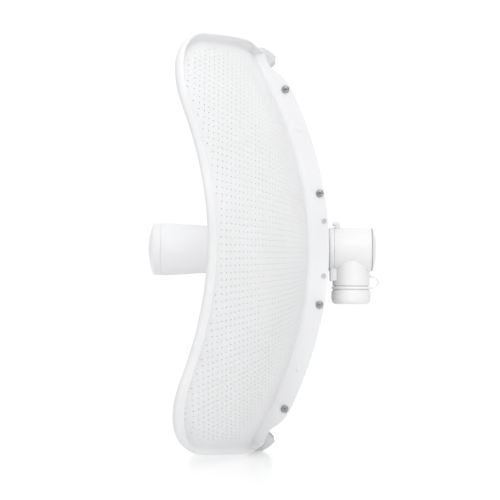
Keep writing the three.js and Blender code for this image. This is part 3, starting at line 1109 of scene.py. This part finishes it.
class BRIDGE_OT_port_cap(bpy.types.Operator):
    """Make the port's cap, its seal, the tether ring and the tether loop"""

    bl_idname = "bridge.port_cap"
    bl_label = "Port Cap and Tether"

    def strap(self):
        """A loop that leaves the housing, turns back and ends on the ring."""
        low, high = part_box("cap_tether")
        cord = 0.75 * MM
        top, bottom = high.z - cord, low.z + cord
        radius = (top - bottom) / 2
        start = PORT_Y + 19.9 * MM
        bm = cord_end(cord, 16, (0, 0, radius))
        bmesh.ops.spin(
            bm, geom=bm.verts[:] + bm.edges[:], cent=(0, 0, 0), axis=ALONG["x"],
            angle=-math.pi, steps=36)
        stretch = (high.y - cord - start) / radius
        bmesh.ops.scale(bm, vec=(1, stretch, 1), verts=bm.verts)
        ends = [e for e in bm.edges if e.is_boundary]
        made = bmesh.ops.extrude_edge_only(bm, edges=ends)
        tips = [g for g in made["geom"] if isinstance(g, bmesh.types.BMVert)]
        bmesh.ops.translate(bm, vec=(0, -1.4 * MM, 0), verts=tips)
        bmesh.ops.holes_fill(bm, edges=[e for e in bm.edges if e.is_boundary])
        bmesh.ops.translate(bm, vec=(0, start, (top + bottom) / 2), verts=bm.verts)
        bmesh.ops.recalc_face_normals(bm, faces=bm.faces)
        loop = scratch(bm, "tether_loop")
        loop.data.polygons.foreach_set("use_smooth", [True] * len(loop.data.polygons))
        loop.data.set_sharp_from_angle(angle=math.radians(50))
        loop.data.materials.append(tether_plastic())
        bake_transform(loop)
        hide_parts("cap_tether")

    def execute(self, context):
        centre = (0, PORT_Y, 0)
        low = CAP_LOW.z / MM
        radius = CAP_RADIUS / MM
        cap = (
            (0, -51.4, 0), (17.3, -51.4, 0.3), (17.3, -39.7, 0.2), (18.3, -39.7, 0.3),
            (18.3, -41.3, 0.2), (radius, -41.3, 0.3), (radius, low + 2.4, 2.4),
            (radius - 2.6, low - 0.9, 2.0), (0, low - 0.9, 0),
        )
        finished(
            turned(cap, "z", centre, steps=112), "port_cap_shell", "cap",
            cap_plastic(), ["port_cap"])
        seal = turned(
            ((14.9, -51.1, 0.2), (17, -51.1, 0.2), (17, -50.3, 0.2), (14.9, -50.3, 0.2)), "z",
            centre, steps=72)
        finished(seal, "port_cap_seal", "cap", seal_rubber(), ["port_seal"])
        ring = turned(
            ((17.3, -39.4, 0.4), (19.3, -39.4, 0.7), (19.3, -36.8, 0.7), (17.3, -36.8, 0.4)), "z",
            centre, steps=96)
        finished(
            ring, "tether_collar", "tether", tether_plastic(), ["tether_ring"])
        self.strap()
        return {"FINISHED"}


# ---------------------------------------------------------------- stage


class BRIDGE_OT_stage(bpy.types.Operator):
    """Set the floor, the soft light and the camera"""

    bl_idname = "bridge.stage"
    bl_label = "Stage"

    def floor(self, stage):
        bm = bmesh.new()
        bmesh.ops.create_grid(bm, x_segments=1, y_segments=1, size=12)
        bmesh.ops.translate(bm, vec=(0, 0, -stage.floor_drop), verts=bm.verts)
        floor = scratch(bm, "floor")
        material, tree, shader = new_material("pale_floor")
        shader.inputs["Base Color"].default_value = (0.72, 0.72, 0.72, 1)
        shader.inputs["Roughness"].default_value = 0.14
        shader.inputs["Emission Color"].default_value = (1, 1, 1, 1)
        shader.inputs["Emission Strength"].default_value = 0.24
        floor.data.materials.append(material)

    def world(self):
        """Soft light from all round, brighter overhead and on the far side of the camera."""
        world = bpy.data.worlds.new("soft_studio")
        bpy.context.scene.world = world
        world.use_nodes = True
        tree = world.node_tree
        background = tree.nodes["Background"]
        place = tree.nodes.new("ShaderNodeTexCoord")
        parts = tree.nodes.new("ShaderNodeSeparateXYZ")
        tree.links.new(place.outputs["Generated"], parts.inputs["Vector"])

        def scaled(value, factor, offset):
            """A value times a factor, plus an offset."""
            node = tree.nodes.new("ShaderNodeMath")
            node.operation = "MULTIPLY_ADD"
            tree.links.new(value, node.inputs[0])
            for slot, term in ((1, factor), (2, offset)):
                if isinstance(term, bpy.types.NodeSocket):
                    tree.links.new(term, node.inputs[slot])
                else:
                    node.inputs[slot].default_value = term
            return node

        away = scaled(parts.outputs["X"], -0.62, 0.38)
        away.use_clamp = True
        far = away.outputs["Value"]
        side = scaled(scaled(far, far, 0).outputs["Value"], 0.56, 0.468)
        sky = scaled(parts.outputs["Z"], 0.31, side.outputs["Value"])
        tree.links.new(sky.outputs["Value"], background.inputs["Strength"])
        background.inputs["Color"].default_value = (1, 1, 1, 1)

    def aimed(self, data, place, aim, power):
        """A light at a place, turned towards another."""
        data.energy = power
        light = bpy.data.objects.new(data.name, data)
        light.location = place
        direction = Vector(aim) - Vector(place)
        light.rotation_euler = direction.to_track_quat("-Z", "Y").to_euler()
        bpy.context.scene.collection.objects.link(light)

    def softbox(self, name, place, aim, size, power):
        data = bpy.data.lights.new(name, "AREA")
        data.shape = "RECTANGLE"
        data.size, data.size_y = size
        self.aimed(data, place, aim, power)

    def spot(self, name, place, aim, angle, power):
        data = bpy.data.lights.new(name, "SPOT")
        data.spot_size = angle
        data.spot_blend = 0.9
        data.shadow_soft_size = 0.015
        self.aimed(data, place, aim, power)

    def camera(self, stage):
        data = bpy.data.cameras.new("camera")
        data.sensor_width = 36
        data.lens = 36 * stage.camera_distance / 0.5
        data.clip_start, data.clip_end = 0.05, 50
        camera = bpy.data.objects.new("camera", data)
        forward = Vector((-math.cos(stage.tilt), 0, math.sin(stage.tilt)))
        up = Vector((math.sin(stage.tilt), 0, math.cos(stage.tilt)))
        right = forward.cross(up)
        turned_up = up * math.cos(stage.roll) - right * math.sin(stage.roll)
        turned_right = forward.cross(turned_up)
        rotation = Matrix((turned_right, turned_up, -forward)).transposed()
        camera.matrix_world = Matrix.Translation(
            (stage.camera_distance, stage.camera_along, stage.camera_height)) @ rotation.to_4x4()
        bpy.context.scene.collection.objects.link(camera)
        bpy.context.scene.camera = camera

    def execute(self, context):
        stage = context.scene.bridge_stage
        self.floor(stage)
        self.world()
        self.softbox("top_light", (0.6, 0.1, 2.2), (0, 0, 0), (2.0, 2.0), 7.5)
        self.softbox("key_light", (2.4, 0.3, 1.9), (0, 0, 0), (1.6, 1.6), 26.5)
        self.softbox("fill_light", (1.6, 1.1, -0.12), (0, 0.05, 0), (0.9, 0.2), 2.0)
        self.spot("tube_light", (2.4, -0.5, 0.5), (0.02, -0.105, 0.004), 0.05, 30)
        self.spot("port_light", (2.4, 0.3, -0.1), (0.02, 0.044, -0.036), 0.035, 14)
        self.camera(stage)
        context.scene.view_settings.view_transform = "Standard"
        context.scene.view_settings.look = "None"
        return {"FINISHED"}


class BRIDGE_PT_panel(bpy.types.Panel):
    bl_label = "Outdoor Wireless Bridge"
    bl_idname = "BRIDGE_PT_panel"
    bl_space_type = "VIEW_3D"
    bl_region_type = "UI"
    bl_category = "Bridge"

    def draw(self, context):
        for owner in ("bridge_dish", "bridge_finish", "bridge_stage"):
            group = getattr(context.scene, owner)
            column = self.layout.column(align=True)
            for key in group.__annotations__:
                column.prop(group, key)
        for name in STEPS:
            self.layout.operator(f"bridge.{name}")


STEPS = ("stage", "wings", "channel", "fasteners", "feed", "radio", "latch", "port_cap")
CLASSES = (
    DishSizes, Finishes, StageSizes, BRIDGE_OT_wings, BRIDGE_OT_channel, BRIDGE_OT_fasteners,
    BRIDGE_OT_feed, BRIDGE_OT_radio, BRIDGE_OT_latch, BRIDGE_OT_port_cap, BRIDGE_OT_stage,
    BRIDGE_PT_panel,
)


def register():
    for cls in CLASSES:
        bpy.utils.register_class(cls)
    bpy.types.Scene.bridge_dish = PointerProperty(type=DishSizes)
    bpy.types.Scene.bridge_finish = PointerProperty(type=Finishes)
    bpy.types.Scene.bridge_stage = PointerProperty(type=StageSizes)


def unregister():
    del bpy.types.Scene.bridge_stage
    del bpy.types.Scene.bridge_finish
    del bpy.types.Scene.bridge_dish
    for cls in reversed(CLASSES):
        bpy.utils.unregister_class(cls)


def main():
    register()
    for name in STEPS:
        getattr(bpy.ops.bridge, name)()


if __name__ == "__main__":
    main()
